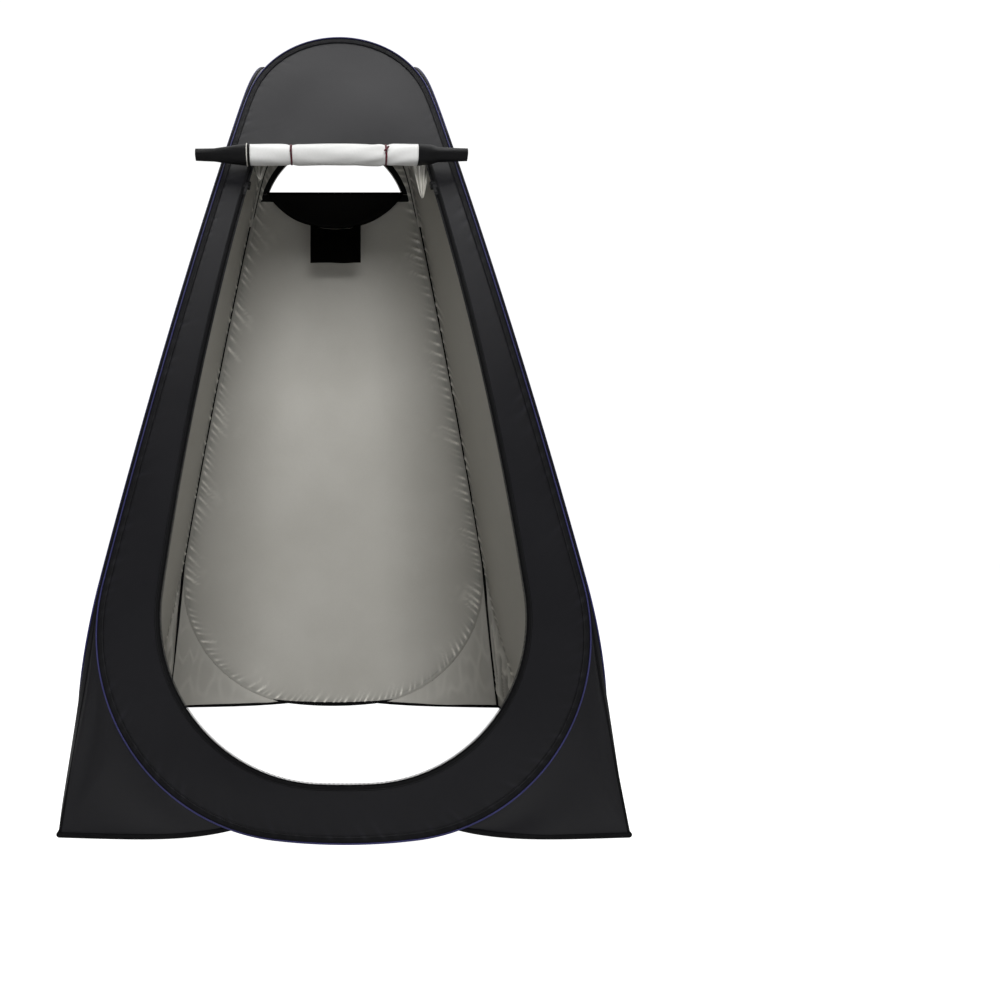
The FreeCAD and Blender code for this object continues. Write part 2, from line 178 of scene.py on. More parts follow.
class Outline:
    """A chain of tangent arcs, symmetrical about x = 0, with evenly spaced points."""

    def __init__(self, arcs, count, closed):
        lengths = np.array([r * (end - start) for _, r, start, end in arcs])
        ends = np.concatenate([[0], np.cumsum(lengths)])
        along = np.linspace(0, ends[-1], count // 2 + 1)
        which = np.clip(np.searchsorted(ends, along, side="right") - 1, 0, len(arcs) - 1)
        radius = np.array([arcs[i][1] for i in which])
        angle = np.array([arcs[i][2] for i in which]) + (along - ends[which]) / radius
        centre = np.array([arcs[i][0] for i in which])
        out = stacked(np.cos(angle), np.sin(angle))
        flip = np.array([-1, 1])
        left = slice(-2, 0, -1) if closed else slice(-1, 0, -1)
        self.closed = closed
        self.length = 2 * ends[-1]
        way = 1 if closed else -1
        mirror = [centre[left] * flip, out[left] * flip, radius[left], closed * self.length - along[left]]
        pairs = zip((centre, out, radius, along), mirror)
        self.centre, self.out, self.radius, self.along = (np.concatenate(pair[::way]) for pair in pairs)

    def at(self, inset):
        """x and z of the outline, drawn in by a distance."""
        size = (self.radius - inset)[:, None]
        place = self.centre + self.out * size
        return place[:, 0], place[:, 1]


def hoop_outline(count):
    side = np.array([ARC_W, ARC_Z])
    side_radius = ARC_RADIUS - EDGE_SETBACK
    bottom = np.array([0, BOTTOM_RADIUS - GROUND_FLAT])
    crown = np.array([0, HEIGHT - CROWN_RADIUS])
    corner = crossing(bottom, BOTTOM_RADIUS - CORNER_RADIUS, side, side_radius - CORNER_RADIUS)
    shoulder = crossing(crown, SHOULDER_RADIUS - CROWN_RADIUS, side, side_radius - SHOULDER_RADIUS)
    turns = [-math.pi / 2, heading(bottom, corner), heading(side, corner), heading(side, shoulder)]
    turns += [heading(shoulder, crown), math.pi / 2]
    centres = [bottom, corner, side, shoulder, crown]
    radii = [BOTTOM_RADIUS, CORNER_RADIUS, side_radius, SHOULDER_RADIUS, CROWN_RADIUS]
    return Outline(list(zip(centres, radii, turns, turns[1:])), count, closed=True)


def door_outline(count, top=DOOR_TOP):
    normal = np.array([1, DOOR_SIDE_SLOPE]) / math.hypot(1, DOOR_SIDE_SLOPE)
    side = np.array([DOOR_HALF, DOOR_WAIST]) - normal * DOOR_SIDE_RADIUS
    bottom = np.array([0, DOOR_BOTTOM + DOOR_BOTTOM_RADIUS])
    spread = DOOR_SIDE_RADIUS - DOOR_CORNER_RADIUS
    corner = crossing(bottom, DOOR_BOTTOM_RADIUS - DOOR_CORNER_RADIUS, side, spread)
    turns = [-math.pi / 2, heading(bottom, corner), heading(side, corner)]
    turns.append(math.asin((top - side[1]) / DOOR_SIDE_RADIUS))
    radii = [DOOR_BOTTOM_RADIUS, DOOR_CORNER_RADIUS, DOOR_SIDE_RADIUS]
    return Outline(list(zip([bottom, corner, side], radii, turns, turns[1:])), count, closed=False)


def window_loop(radius, base, count):
    """The window's outline: an arc of its circle above a level base line, and that line."""
    half = math.asin((base - WINDOW_CENTRE) / radius)
    angle = np.linspace(half, math.pi - half, count)
    arch = stacked(radius * np.cos(angle), WINDOW_CENTRE + radius * np.sin(angle))
    line = np.linspace(arch[-1], arch[0], count // 2)[1:-1]
    return np.concatenate([arch, line])


HOOP = hoop_outline(1400)
GUSSET_TOP = HOOP.at(0.0)[1][HOOP.radius == CORNER_RADIUS].max()
SEAM_LOW = GUSSET_TOP + 0.002
DOOR = door_outline(760)


# ---------------------------------------------------------------- meshes

def grid_faces(rows, columns, wrap_rows=False, wrap_columns=False):
    """Quads of a grid of points numbered row by row."""
    i = np.arange(rows if wrap_rows else rows - 1)
    j = np.arange(columns if wrap_columns else columns - 1)
    i, j = [a.ravel() for a in np.meshgrid(i, j, indexing="ij")]
    next_i, next_j = (i + 1) % rows, (j + 1) % columns
    return stacked(i * columns + j, next_i * columns + j, next_i * columns + next_j, i * columns + next_j)


def distances(path):
    """How far along a polyline each of its points is."""
    return np.concatenate([[0], np.cumsum(np.linalg.norm(np.diff(path, axis=0), axis=1))])


def grid_uv(rows, columns):
    return stacked(rows[:, None], columns[None, :]).reshape(-1, 2)


def rim(faces):
    """Edges that only one face uses, in that face's direction."""
    edges = np.stack([faces, np.roll(faces, -1, axis=1)], axis=-1)
    edges = np.concatenate([edges[:, k] for k in range(faces.shape[1])])
    key = np.sort(edges, axis=1)
    _, first, uses = np.unique(key, axis=0, return_index=True, return_counts=True)
    return edges[first[uses == 1]]


def add_mesh(name, points, faces, uv=None, smooth=True, painted_light=None):
    """A mesh object in the scene, with UVs in metres, and each point's painted shade and highlight, if they are
    given.
    """
    mesh = bpy.data.meshes.new(name)
    faces = [f.tolist() if hasattr(f, "tolist") else f for f in faces]
    mesh.from_pydata(np.asarray(points).reshape(-1, 3).tolist(), [], faces)
    if uv is not None:
        layer = mesh.uv_layers.new(name="metres")
        loops = np.zeros(len(mesh.loops), np.int32)
        mesh.loops.foreach_get("vertex_index", loops)
        layer.data.foreach_set("uv", np.asarray(uv, np.float32)[loops].ravel())
    if painted_light is not None:
        painted_light_term = mesh.attributes.new("painted_light", "FLOAT", "POINT")
        painted_light_term.data.foreach_set("value", np.asarray(painted_light, np.float32).ravel())
    mesh.polygons.foreach_set("use_smooth", np.full(len(mesh.polygons), smooth))
    mesh.update()
    made = bpy.data.objects.new(name, mesh)
    bpy.context.scene.collection.objects.link(made)
    return made


def shell(name, outer, inner, faces, uv, painted_light=None):
    """A closed thin sheet between two matching sets of points. Faces are wound to look outward."""
    outer, inner, uv = outer.reshape(-1, 3), inner.reshape(-1, 3), uv.reshape(-1, 2)
    count = len(outer)
    edge = rim(faces)
    wall = stacked(edge[:, 1], edge[:, 0], edge[:, 0] + count, edge[:, 1] + count)
    every = list(faces) + list(faces[:, ::-1] + count) + list(wall)
    painted_light = None if painted_light is None else np.concatenate([painted_light, painted_light])
    return add_mesh(name, np.concatenate([outer, inner]), every, np.concatenate([uv, uv]), painted_light=painted_light)


def normals_of(points, faces):
    """Unit normals of a surface at its points."""
    a, b, c = points[faces[:, 0]], points[faces[:, 1]], points[faces[:, -1]]
    size = np.cross(b - a, c - a)
    total = np.zeros_like(points)
    for k in range(faces.shape[1]):
        np.add.at(total, faces[:, k], size)
    return unit(total)


def sweep(name, outline, profile, degrees=0.0, wobble=None, painted_light=None):
    """A closed (inset, depth) profile carried along an outline of the front panel."""
    rings = []
    for inset, depth in profile:
        x, z = outline.at(inset)
        rings.append(on_front(x, z, depth if wobble is None else depth + wobble(inset)))
    points = np.stack(rings, axis=1)
    rows, columns = points.shape[:2]
    faces = list(grid_faces(rows, columns, wrap_rows=outline.closed, wrap_columns=True))
    if not outline.closed:
        faces += [list(range(columns)), list(range((rows - 1) * columns, rows * columns))[::-1]]
    uv = grid_uv(outline.along, distances(np.array(profile)))
    shade = None if painted_light is None else np.stack([painted_light(inset) for inset, _ in profile], axis=1)
    return add_mesh(name, turned(points, degrees), faces, uv, painted_light=shade)


def tube(name, path, radius, sides=10, flat=1.0):
    """A cord along points, round or flattened; the radius may differ from point to point."""
    path = np.asarray(path, float)
    along = unit(np.gradient(path, axis=0))
    up = np.array([0.0, 0.0, 1.0]) if abs(along[0][2]) < 0.9 else np.array([1.0, 0.0, 0.0])
    rings = []
    for place, way, r in zip(path, along, np.broadcast_to(radius, len(path))):
        side = unit(np.cross(way, up))
        up = np.cross(side, way)
        a = np.linspace(0, 2 * math.pi, sides, endpoint=False)[:, None]
        rings.append(place + (np.cos(a) * side * flat + np.sin(a) * up) * r)
    points = np.stack(rings)
    faces = list(grid_faces(len(path), sides, wrap_columns=True))
    faces += [list(range(sides)), list(range((len(path) - 1) * sides, len(path) * sides))[::-1]]
    girth = np.arange(sides) * (2 * math.pi * float(np.max(radius)) / sides)
    return add_mesh(name, points, faces, grid_uv(distances(path), girth))


def evenly(path, pitch):
    """Points at an even pitch along a polyline, and their directions."""
    steps = distances(path)
    at = np.arange(pitch / 2, steps[-1], pitch)
    place, ahead = (stacked(*(np.interp(where, steps, line) for line in path.T)) for where in (at, at + pitch / 4))
    return place, unit(ahead - place)


def stitches(name, path, normal, pitch=0.0045, length=0.0034, thick=0.0009):
    """A row of thread stitches along a path, each a small raised lozenge standing out along a normal."""
    place, way = evenly(path, pitch)
    out = np.broadcast_to(np.asarray(normal, float), place.shape)
    side = unit(np.cross(way, out))
    rings = []
    for at, size in ((-0.5, 0.35), (-0.2, 1.0), (0.2, 1.0), (0.5, 0.35)):
        middle = place + way * length * at
        half = thick / 2 * size
        rings += [middle + side * half, middle + out * half, middle - side * half, middle - out * half]
    points = np.stack(rings, axis=1)
    one = [list(f) for f in grid_faces(4, 4, wrap_columns=True)] + [[3, 2, 1, 0], [12, 13, 14, 15]]
    faces = [[v + 16 * i for v in f] for i in range(len(place)) for f in one]
    return add_mesh(name, points, faces, np.zeros((points.shape[0] * 16, 2)))


# ---------------------------------------------------------------- cloth shapes

def seam_ripple(along, length, seed, finest, coarsest, waves=16):
    """Irregular ripples along a closed seam, from 0 to about 1, steep at their tops."""
    rng = np.random.default_rng(seed)
    total = np.zeros_like(along)
    for _ in range(waves):
        turns = round(length / rng.uniform(finest, coarsest))
        total += np.sin(2 * math.pi * turns * along / length + rng.uniform(0, 2 * math.pi))
    return np.clip(total / math.sqrt(waves), 0, 1.2) ** 1.2


def seam_pucker(along, inset, seed):
    """How far the lining's gathers stand in beside the hoop's seam: slanting, and some longer than others."""
    slant = along + 0.7 * (inset - 0.012)
    ripple = seam_ripple(slant, HOOP.length, seed + 1, 0.014, 0.042)
    stretch = 0.010 + 0.016 * seam_ripple(along, HOOP.length, seed + 2, 0.10, 0.30)
    fade = np.exp(-np.clip(inset - 0.016, 0, 1) / stretch) * np.clip((inset - 0.005) / 0.009, 0, 1)
    return ripple * fade


def seam_painted_light(along, inset, seed):
    """Painted highlight on the crests of the gathers, painted shade in their hollows and along the seam, about -1
    to 1.
    """
    reach_in = np.exp(-np.clip(inset - 0.016, 0, 1) / 0.016)
    return (seam_pucker(along, inset, seed) * 2.2 - 0.55 * reach_in) * np.clip(inset / 0.006, 0, 1)


def billow(x, z, seed, waves=6, size=0.5):
    """Slow undulation of a stretched panel, about -1 to 1."""
    rng = np.random.default_rng(seed)
    total = np.zeros_like(x)
    for _ in range(waves):
        way = rng.uniform(0, math.pi)
        turns = 2 * math.pi / (size * rng.uniform(0.7, 1.6))
        total += np.sin((x * math.cos(way) + z * math.sin(way)) * turns + rng.uniform(0, 2 * math.pi))
    return total / math.sqrt(waves)


def inside(points, loop):
    """Which front-view points lie inside a closed loop."""
    x, z = points[:, 0][:, None], points[:, 1][:, None]
    a, b = loop, np.roll(loop, -1, axis=0)
    spans = (a[:, 1] > z) != (b[:, 1] > z)
    rise = np.where(b[:, 1] == a[:, 1], 1e-12, b[:, 1] - a[:, 1])
    return (spans & (x < a[:, 0] + (z - a[:, 1]) * (b[:, 0] - a[:, 0]) / rise)).sum(axis=1) % 2 == 1


def nearest(points, line):
    """Distance from each point to the nearest of a line's points, and that point's number."""
    best, index = np.full(len(points), np.inf), np.zeros(len(points), int)
    for start in range(0, len(points), 2000):
        part = points[start : start + 2000]
        gap = ((part[:, None] - line[None]) ** 2).sum(axis=2)
        index[start : start + 2000] = gap.argmin(axis=1)
        best[start : start + 2000] = np.sqrt(gap.min(axis=1))
    return best, index


def fill(outer, holes, rings, spacing):
    """Triangles over the region inside a loop and outside holes: points on the given rings, and a grid between."""
    loops = [outer, *holes]
    low, high = outer.min(axis=0), outer.max(axis=0)
    rows = np.arange(low[1], high[1], spacing * 0.866)
    starts = [low[0] + spacing / 2 * (i % 2) for i in range(len(rows))]
    grid = np.concatenate([stacked(np.arange(start, high[0], spacing), z) for start, z in zip(starts, rows)])
    fixed = np.concatenate([*loops, *rings])

    def within(places):
        return inside(places, outer) & ~np.any([inside(places, hole) for hole in holes] or [[False]], axis=0)

    points = np.concatenate([fixed, grid[within(grid) & (nearest(grid, fixed)[0] > spacing * 0.55)]])
    edges, start = [], 0
    for loop in loops:
        count = len(loop)
        edges += [(start + i, start + (i + 1) % count) for i in range(count)]
        start += count
    made = delaunay_2d_cdt([Vector(p) for p in points], edges, [], 0, 1e-7)
    points = np.array([tuple(p) for p in made[0]])
    faces = np.array([f for f in made[2] if len(f) == 3])
    faces = faces[within(points[faces].mean(axis=1))]
    a, b, c = (points[faces[:, k]] for k in range(3))
    area = (b[:, 0] - a[:, 0]) * (c[:, 1] - a[:, 1]) - (b[:, 1] - a[:, 1]) * (c[:, 0] - a[:, 0])
    faces[area < 0] = faces[area < 0][:, ::-1]
    faces = faces[abs(area) > 1e-10]
    used, faces = np.unique(faces, return_inverse=True)
    return points[used], faces.reshape(-1, 3)


def loop_of(outline, inset, step=1):
    return stacked(*outline.at(inset))[::step]


def panel_plan(side):
    """The flat plan of a side's cloth: its points and triangles in the front view."""
    outer = loop_of(HOOP, 0.012)
    rings = [loop_of(HOOP, inset) for inset in (0.0150, 0.0180, 0.0215, 0.0255, 0.0300)]
    rings += [loop_of(HOOP, inset, 2) for inset in (0.036, 0.043, 0.052)]
    holes = []
    if side == "front":
        door = loop_of(DOOR, 0.0)
        header = np.linspace(door[-1], door[0], 60)[1:-1]
        holes = [np.concatenate([door, header])]
        grown = [loop_of(DOOR, -g) for g in (0.004, 0.009, 0.016, 0.026)]
        rings += [ring[ring[:, 1] < DOOR_TOP - 0.01] for ring in grown]
    if side == "back":
        holes = [window_loop(WINDOW_RADIUS, SILL, 90)]
        rings.append(window_loop(WINDOW_RADIUS + 0.009, SILL - 0.009, 94))
    spaced = []
    for ring in rings:
        clear = np.full(len(ring), True)
        for hole in holes:
            clear &= ~inside(ring, hole) & (nearest(ring, hole)[0] > 0.002)
        spaced.append(ring[clear])
    return fill(outer, holes, spaced, 0.017)


def panel_form(plan, side, seed):
    """How far a side's cloth stands in from its arc, how far its lining stands further in, and the gathers'
    painted shade and highlight.
    """
    x, z = plan[:, 0], plan[:, 1]
    edge = loop_of(HOOP, 0.0)
    inset, index = nearest(plan, edge)
    along = HOOP.along[index]
    free = np.clip((inset - 0.012) / 0.11, 0, 1)
    slow = billow(x, z, seed, size=0.42) * 0.0022 * free**1.2
    pucker = seam_pucker(along, inset, seed)
    if side == "front":
        from_door = nearest(plan, loop_of(DOOR, 0.0))[0]
        slow *= np.clip(from_door / 0.05, 0.15, 1)
        pucker *= np.clip((from_door - 0.01) / 0.03, 0, 1)
    if side == "back":
        pucker *= np.clip(nearest(plan, window_loop(WINDOW_RADIUS, SILL, 90))[0] / 0.03 - 0.6, 0, 1)
    return slow + pucker * 0.0005, pucker * PUCKER_DEPTH, seam_painted_light(along, inset, seed)


# ---------------------------------------------------------------- materials

def node(tree, kind, settings=None, inputs=None):
    """A shader node. Inputs are by name or number, and take a value or another node's output."""
    made = tree.nodes.new("ShaderNode" + kind)
    for name, value in (settings or {}).items():
        setattr(made, name, value)
    for name, value in (inputs or {}).items():
        if isinstance(value, bpy.types.NodeSocket):
            tree.links.new(value, made.inputs[name])
        else:
            made.inputs[name].default_value = value
    return made


def maths(tree, operation, a, b=0.5):
    return node(tree, "Math", {"operation": operation}, {0: a, 1: b}).outputs[0]


def ramp(tree, factor, low, high, dark, light):
    """A colour between two, as the factor goes from low to high."""
    spread = node(tree, "MapRange", None, {"Value": factor, "From Min": low, "From Max": high}).outputs[0]
    mix = node(tree, "Mix", {"data_type": "RGBA"}, {0: spread, 6: (*dark, 1), 7: (*light, 1)})
    return mix.outputs[2]


def bands(tree, vector, pitch, direction):
    """A sine wave of a pitch in metres along X or Y."""
    scale = 2 * math.pi / (20 * pitch)
    return node(tree, "TexWave", {"bands_direction": direction}, {"Vector": vector, "Scale": scale}).outputs["Fac"]


def noise(tree, vector, size, detail=3.0, distortion=0.0):
    """Noise whose features are about a size in metres."""
    inputs = {"Vector": vector, "Scale": 1 / size, "Detail": detail, "Distortion": distortion}
    return node(tree, "TexNoise", None, inputs).outputs["Fac"]


def principled(name):
    """A new material, its node tree and its shader."""
    made = bpy.data.materials.new(name)
    made.use_nodes = True
    return made, made.node_tree, made.node_tree.nodes["Principled BSDF"]


def near_value(tree, factor, middle, spread):
    """A value that wanders round a middle one as a noise does."""
    inputs = {"Value": factor, "From Min": 0.3, "From Max": 0.7}
    inputs |= {"To Min": middle - spread, "To Max": middle + spread}
    return node(tree, "MapRange", None, inputs).outputs[0]


def cloth_finish(
    name, dark, light, roughness, pitch=0.0009, weave=0.3, crease=0.2, crease_size=0.05,
    specular=0.5, sheen=0.0, coords="UV",
):
    """A woven cloth or tape: weave and creases in its bump, a slightly patchy colour and roughness, and each
    point's painted shade and highlight scaling the colour.
    """
    made, tree, shader = principled(name)
    place = node(tree, "TexCoord")
    flat, solid = place.outputs[coords], place.outputs["Object"]
    patch = noise(tree, solid, 0.30, 4)
    fine = noise(tree, solid, 0.004, 2)
    threads = maths(tree, "MULTIPLY", bands(tree, flat, pitch, "X"), bands(tree, flat, pitch, "Y"))
    tone = maths(tree, "ADD", patch, maths(tree, "MULTIPLY", fine, 0.25))
    # Painted shade and highlight: each point's value darkens or lightens the base colour.
    painted_light = node(tree, "Attribute", {"attribute_name": "painted_light"}).outputs["Fac"]
    painted_light_term = maths(tree, "ADD", maths(tree, "MULTIPLY", painted_light, 0.42), 1.0)
    base = ramp(tree, tone, 0.42, 0.82, dark, light)
    base = node(tree, "VectorMath", {"operation": "SCALE"}, {"Vector": base, "Scale": painted_light_term}).outputs["Vector"]
    tree.links.new(base, shader.inputs["Base Color"])
    tree.links.new(near_value(tree, patch, roughness, 0.04), shader.inputs["Roughness"])
    folds = noise(tree, solid, crease_size, 5, 0.6)
    creased = {"Strength": crease, "Distance": crease_size * 0.06, "Height": folds}
    first = node(tree, "Bump", None, creased)
    woven = {"Strength": weave, "Distance": pitch * 0.4, "Height": threads, "Normal": first.outputs[0]}
    tree.links.new(node(tree, "Bump", None, woven).outputs[0], shader.inputs["Normal"])
    shader.inputs["Specular IOR Level"].default_value = specular
    shader.inputs["Sheen Weight"].default_value = sheen
    shader.inputs["Sheen Roughness"].default_value = 0.45
    return made


def hard_finish(name, dark, light, roughness, metallic, grain):
    """A moulded or metal part: fine grain, patchy gloss."""
    made, tree, shader = principled(name)
    solid = node(tree, "TexCoord").outputs["Object"]
    speckle = noise(tree, solid, grain, 3)
    patch = noise(tree, solid, grain * 12, 3)
    tree.links.new(ramp(tree, patch, 0.35, 0.7, dark, light), shader.inputs["Base Color"])
    tree.links.new(near_value(tree, patch, roughness, 0.08), shader.inputs["Roughness"])
    bump = node(tree, "Bump", None, {"Strength": 0.25, "Distance": grain * 0.3, "Height": speckle})
    tree.links.new(bump.outputs[0], shader.inputs["Normal"])
    shader.inputs["Metallic"].default_value = metallic
    return made


# Cloths and tapes: dark and light colour, roughness, and what differs from cloth_finish's defaults.
TAPE_COLOURS = ((0.0030, 0.0030, 0.0035), (0.0055, 0.0055, 0.0060))
TAPE = {"pitch": 0.0014, "weave": 0.8, "crease": 0.1, "crease_size": 0.02, "specular": 0.15}
THREAD = {"pitch": 0.0005, "weave": 0.4, "crease": 0.1, "crease_size": 0.01, "coords": "Object"}
CLOTHS = {
    "canopy_cloth": (
        *((0.0026, 0.0025, 0.0038), (0.0042, 0.0041, 0.0056), 0.46),
        {"weave": 0.25, "crease": 0.12, "crease_size": 0.09},
    ),
    "silver_lining": (
        *((0.455, 0.443, 0.405), (0.515, 0.503, 0.465), 0.44),
        {"weave": 0.12, "crease": 0.40, "crease_size": 0.030},
    ),
    # A lighter, glossier copy of the silver lining for the rolled door: painted light on the lit roll.
    "lit_roll_silver": (
        *((0.55, 0.55, 0.54), (0.64, 0.64, 0.63), 0.36),
        {"weave": 0.12, "crease": 0.55, "crease_size": 0.016, "coords": "Object"},
    ),
    "roll_black": (
        *((0.0030, 0.0030, 0.0033), (0.0055, 0.0055, 0.0060), 0.55),
        {"weave": 0.4, "crease": 0.5, "crease_size": 0.014, "specular": 0.2},
    ),
    "edge_sleeve_cloth": (
        *((0.0040, 0.0040, 0.0048), (0.0065, 0.0065, 0.0075), 0.5),
        {"weave": 0.5, "crease": 0.25, "crease_size": 0.02, "specular": 0.2},
    ),
    "piping_cord": (
        *((0.015, 0.015, 0.062), (0.028, 0.028, 0.105), 0.5),
        {"pitch": 0.0016, "weave": 0.6, "crease": 0.1, "crease_size": 0.02},
    ),
    "black_tape": (*TAPE_COLOURS, 0.66, TAPE),
    "cad_tape": (*TAPE_COLOURS, 0.66, {**TAPE, "coords": "Object"}),
    "tie_tape": (
        *((0.05, 0.003, 0.009), (0.10, 0.006, 0.016), 0.6),
        {"weave": 0.8, "crease": 0.1, "crease_size": 0.01, "sheen": 0.2},
    ),
    "cover_cloth": (
        *((0.0010, 0.0009, 0.0008), (0.0018, 0.0016, 0.0014), 0.8),
        {"weave": 0.4, "crease": 0.2, "crease_size": 0.04, "specular": 0.03},
    ),
    "thread": ((0.010, 0.010, 0.011), (0.022, 0.022, 0.024), 0.5, THREAD),
    "silver_thread": ((0.26, 0.255, 0.24), (0.36, 0.355, 0.34), 0.5, THREAD),
}
# Moulded and metal parts: dark and light colour, roughness, metallic, grain.
HARDWARE = {
    "zip_plastic": ((0.005, 0.005, 0.006), (0.010, 0.010, 0.011), 0.38, 0.0, 0.0006),
    "zip_metal": ((0.010, 0.010, 0.011), (0.018, 0.018, 0.019), 0.33, 0.6, 0.0008),
    "spring_steel": ((0.38, 0.38, 0.40), (0.50, 0.50, 0.52), 0.35, 1.0, 0.0005),
}
MATERIALS = {name: cloth_finish(name, *base, **more) for name, (*base, more) in CLOTHS.items()}
MATERIALS |= {name: hard_finish(name, *values) for name, values in HARDWARE.items()}


def dress(made, material):
    """Give a piece its material."""
    made.data.materials.clear()
    made.data.materials.append(MATERIALS[material])
    return made


# ---------------------------------------------------------------- sides

PUCKER_DEPTH = 0.0038
PLAIN = panel_plan("plain")
PLANS = {"front": panel_plan("front"), "back": panel_plan("back"), "left": PLAIN, "right": PLAIN}

# The folded edge strip in (inset, depth): the black cloth wraps round the edge onto the silver one inside.
SLEEVE_OUTER = [
    *((0.0163, 0.0040), (0.0140, 0.0037), (0.0115, 0.0030), (0.0080, 0.0026), (0.0045, 0.0029), (0.0018, 0.0038)),
    *((0.0004, 0.0050), (0.0001, 0.0064), (0.0005, 0.0076), (0.0012, 0.0084), (0.0018, 0.0078), (0.0011, 0.0070)),
    *((0.0009, 0.0062), (0.0014, 0.0052), (0.0026, 0.0044), (0.0050, 0.0036), (0.0080, 0.0033), (0.0112, 0.0037)),
    *((0.0138, 0.0045), (0.0163, 0.0048)),
]
SLEEVE_INNER = [
    *((0.0009, 0.0082), (0.0026, 0.0088), (0.0050, 0.0092), (0.0080, 0.0094), (0.0115, 0.0090), (0.0140, 0.0083)),
    *((0.0163, 0.0080), (0.0163, 0.0073), (0.0138, 0.0076), (0.0112, 0.0083), (0.0080, 0.0087), (0.0050, 0.0085)),
    *((0.0028, 0.0081), (0.0013, 0.0075)),
]


def sleeve_tape(name, side, seed, chosen, width):
    """A dark tape laid over the inner edge of a sleeve, along chosen points of the hoop's outline."""
    share = np.linspace(0, 1, 7)[None, :]
    inset = share * width[:, None]
    out, size = HOOP.out[chosen], HOOP.radius[chosen]
    place = HOOP.centre[chosen][:, None] + out[:, None] * (size[:, None] - inset)[..., None]
    pucker = np.stack([seam_pucker(HOOP.along[chosen], column, seed) for column in inset.T], axis=1)
    depth = np.interp(inset, [0.0, 0.0024, 0.0080, 0.0163], [0.0070, 0.0096, 0.0100, 0.0090])
    depth = depth + pucker * PUCKER_DEPTH
    near, far = (
        turned(on_front(place[..., 0], place[..., 1], depth + thick), SIDES[side]) for thick in (0, 0.0006)
    )
    made = shell(f"{side}_{name}", near, far, grid_faces(len(chosen), 7), place)
    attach(dress(made, "black_tape"), f"{side}_side")


def make_sleeve_tapes(side, seed):
    """A dark tape in the lowest part of a sleeve, a slim crescent, and one along the top of its arch."""
    x, z = HOOP.at(0.0)
    half, base = 0.22, 1.62
    low = np.flatnonzero((np.abs(x) < half) & (z < 0.1))
    low = low[np.argsort(x[low])]
    sleeve_tape("ground_tape", side, seed, low, 0.0008 + 0.0145 * np.sqrt(1 - (x[low] / half) ** 2))
    high = np.flatnonzero(z > base)
    high = high[np.argsort(HOOP.along[high])]
    sleeve_tape("arch_tape", side, seed, high, 0.0008 + 0.0062 * np.clip((z[high] - base) / 0.03, 0, 1))


def make_side(side, seed):
    """Cloth, lining, edge sleeve, stitching and piping of one side."""
    body, degrees = f"{side}_side", SIDES[side]
    plan, faces = PLANS[side]
    cloth, lining, painted_light = panel_form(plan, side, seed)
    for name, layers, depth, material in (
        ("cloth", CLOTH, cloth, "canopy_cloth"),
        ("lining", LINING, cloth + lining, "silver_lining"),
    ):
        outer, inner = (turned(on_front(plan[:, 0], plan[:, 1], layer + depth), degrees) for layer in layers)
        made = dress(shell(f"{side}_{name}", outer, inner, faces, plan, painted_light), material)
        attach(made, body)
        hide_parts(f"{side}_panel")
    ruck = (seam_ripple(HOOP.along, HOOP.length, seed + 5, 0.020, 0.075) - 0.4) * 0.0002

    def gathers(inset):
        return seam_pucker(HOOP.along, inset, seed) * PUCKER_DEPTH

    # Painted shade and highlight of the gathers, on the sleeve strips.
    def shade(inset):
        return seam_painted_light(HOOP.along, inset, seed)

    strips = (
        ("sleeve_outer", SLEEVE_OUTER[::-1], "edge_sleeve_cloth", 0.020, lambda inset: ruck),
        ("sleeve_inner", SLEEVE_INNER, "silver_lining", 0.014, gathers),
    )
    for name, profile, material, width, wobble in strips:
        made = dress(sweep(f"{side}_{name}", HOOP, profile, degrees, wobble, shade), material)
        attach(made, body)
        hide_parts(f"{side}_sleeve")
    make_sleeve_tapes(side, seed)
    angles = np.linspace(0, 2 * math.pi, 10, endpoint=False)
    cord = [(0.0016 + 0.0017 * math.cos(a), 0.0022 + 0.0017 * math.sin(a)) for a in angles]
    made = dress(sweep(f"{side}_piping_cord", HOOP, cord, degrees), "piping_cord")
    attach(made, body)
    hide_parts(f"{side}_piping")
    stitch_inset = 0.0138
    x, z = HOOP.at(stitch_inset)
    out = turned(np.array([0.0, -1.0, 0.2]), degrees)
    rows = (
        ("outer", 0.0036 + ruck, "thread", out),
        ("inner", 0.0084 + gathers(stitch_inset), "silver_thread", -out),
    )
    for name, depth, thread, way in rows:
        path = turned(on_front(x, z, depth), degrees)
        row = stitches(f"{side}_sleeve_stitching_{name}", np.concatenate([path, path[:1]]), way)
        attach(dress(row, thread), body)


for number, side_name in enumerate(SIDES):
    make_side(side_name, 40 + 11 * number)


# ---------------------------------------------------------------- corners

CORNERS = {
    "front_right": ("front", "right", 0.0),
    "back_right": ("right", "back", 90.0),
    "back_left": ("back", "left", 180.0),
    "front_left": ("left", "front", -90.0),
}
CLOSING = {"front_left": "fold_front_left", "back_right": "fold_back_right"}


def mirrored(points):
    """Across the front right corner's diagonal plane."""
    return stacked(-points[..., 1], -points[..., 0], points[..., 2])


def press(made, corner, half):
    """Where a corner closes in the fold, give the piece its own copy of its mesh. The direction and anchor for
    pressing half of its cloth (0 or 1) against its own side are worked out, but not used.
    """
    if corner not in CLOSING:
        return
    way = np.array([0.0, -0.982, 0.187])
    anchor = np.array([0.0, -reach(0.1, 0.006), 0.1])
    if half:
        way, anchor = mirrored(way), mirrored(anchor)
    way, anchor = turned(way, CORNERS[corner][2]), turned(anchor, CORNERS[corner][2])
    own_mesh(made)


def bend_over(made, corner):
    """Attach a piece of the back left corner, where there is no joint, to the left side; for the other corners
    bake the piece's placing into its mesh.
    """
    if corner == "back_left":
        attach(made, "left_side")
        return
    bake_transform(made)


